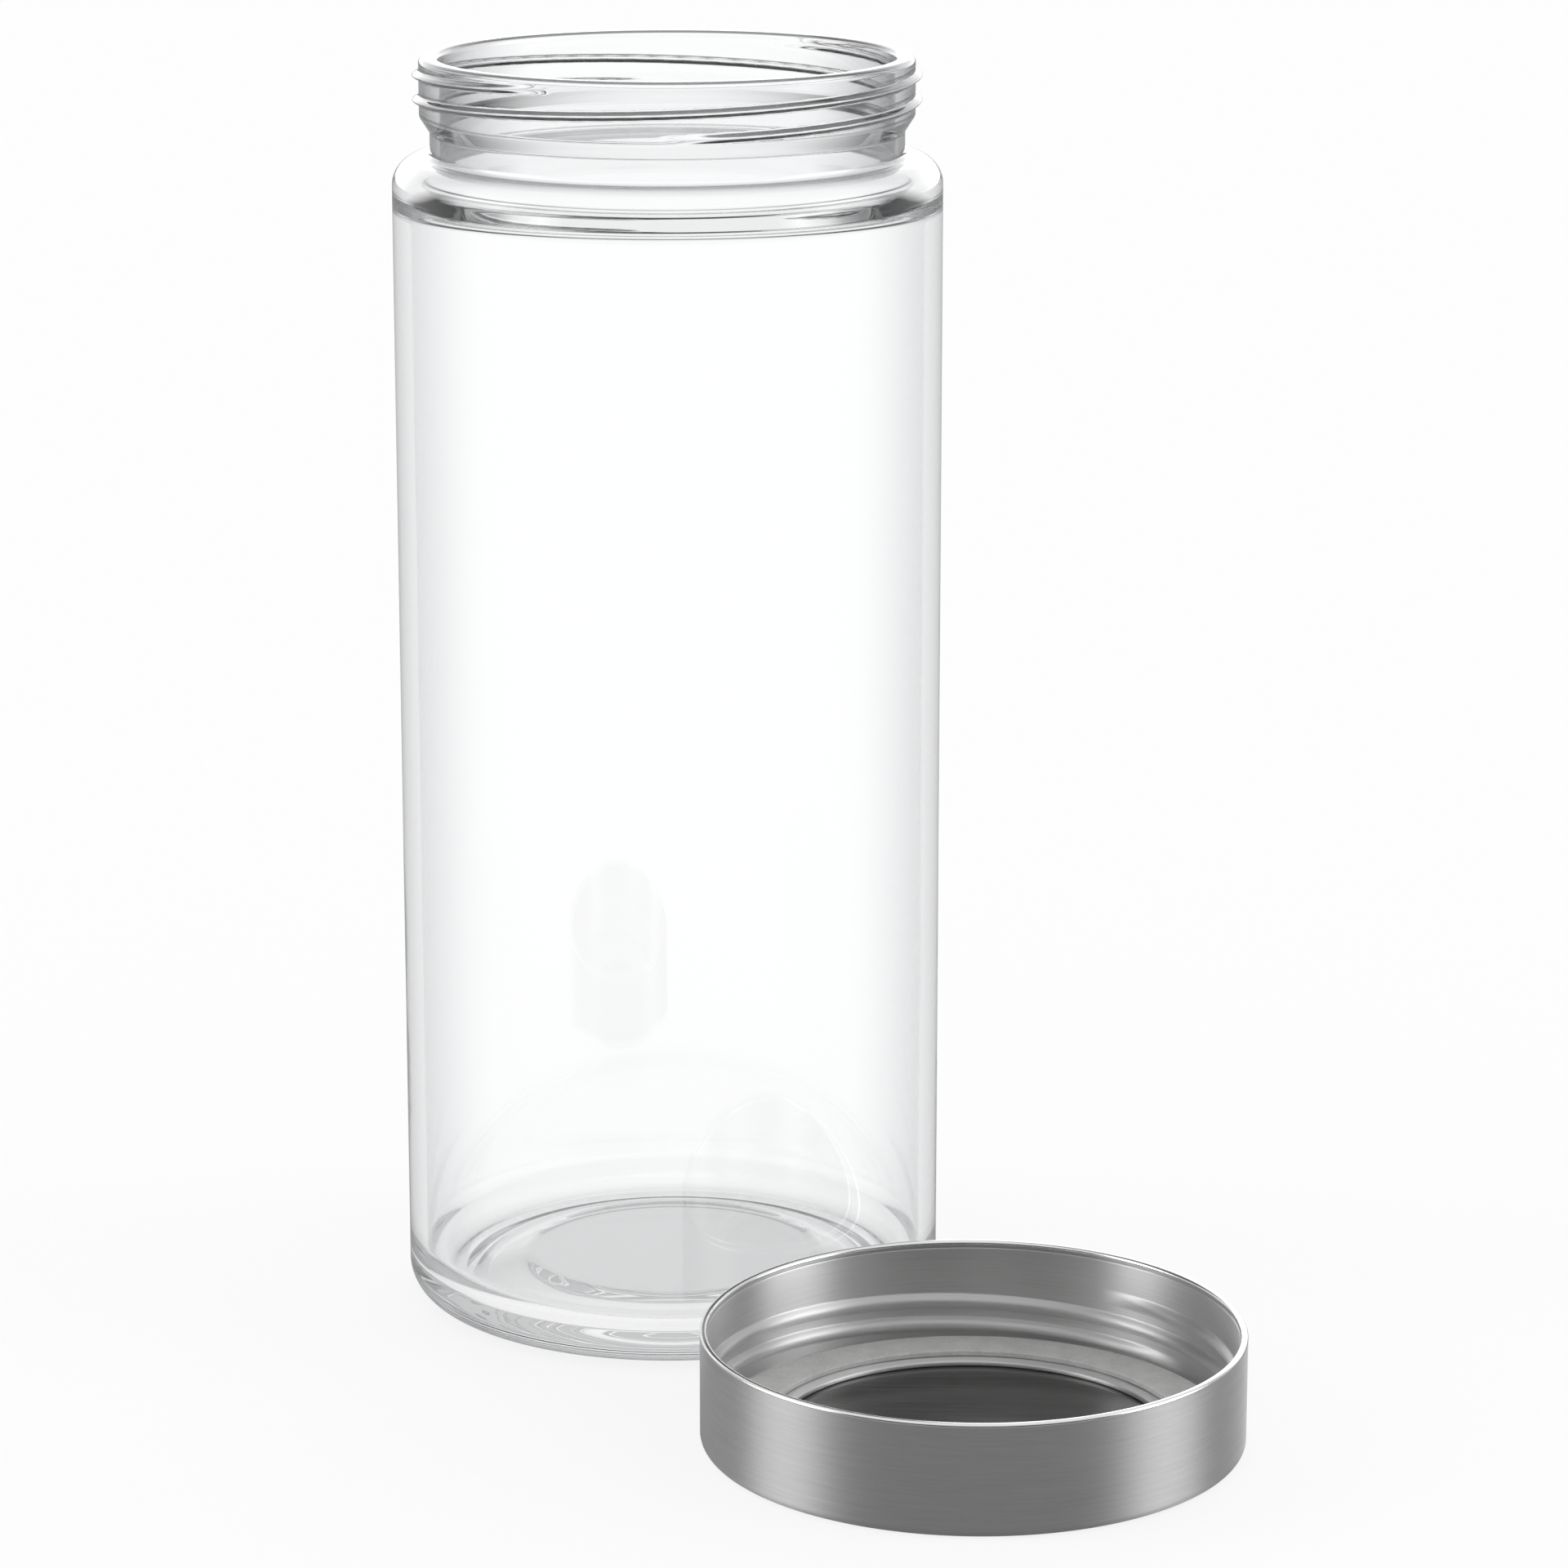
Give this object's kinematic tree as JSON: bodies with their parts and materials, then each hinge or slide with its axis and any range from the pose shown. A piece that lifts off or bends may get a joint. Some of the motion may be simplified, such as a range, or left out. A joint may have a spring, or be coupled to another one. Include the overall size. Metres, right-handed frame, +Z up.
{
  "type": "lidded glass canister",
  "caption": "Tall straight-sided clear glass storage jar with a screw neck, its brushed metal screw lid lying open side up beside it.",
  "frame": {"origin": "centre of the jar's foot ring, on the table", "axes": "+Z up along the jar's axis, +X to the right and -Y towards the viewer of the picture"},
  "size_m": [0.1653, 0.1951, 0.252],
  "materials": {
    "glass": "clear gloss",
    "lid_steel": "fine brushed",
    "lid_ring": "satin",
    "seal": "matt"
  },
  "bodies": {
    "jar": {"glass_jar": "glass"},
    "seal": {"lid_seal": "seal"},
    "lid": {"lid_shell": "lid_steel", "lid_insert": "lid_ring"}
  },
  "joints": [
    {"name": "lid_lift", "type": "slide", "parent": "jar", "child": "seal", "axis": [0, 0, 1], "range_m": [0, 0.27]},
    {"name": "lid_turn", "type": "hinge", "parent": "seal", "child": "lid", "pos_m": [0.05953, -0.08927, 0], "axis": [0, 0, 1], "continuous": true}
  ]
}
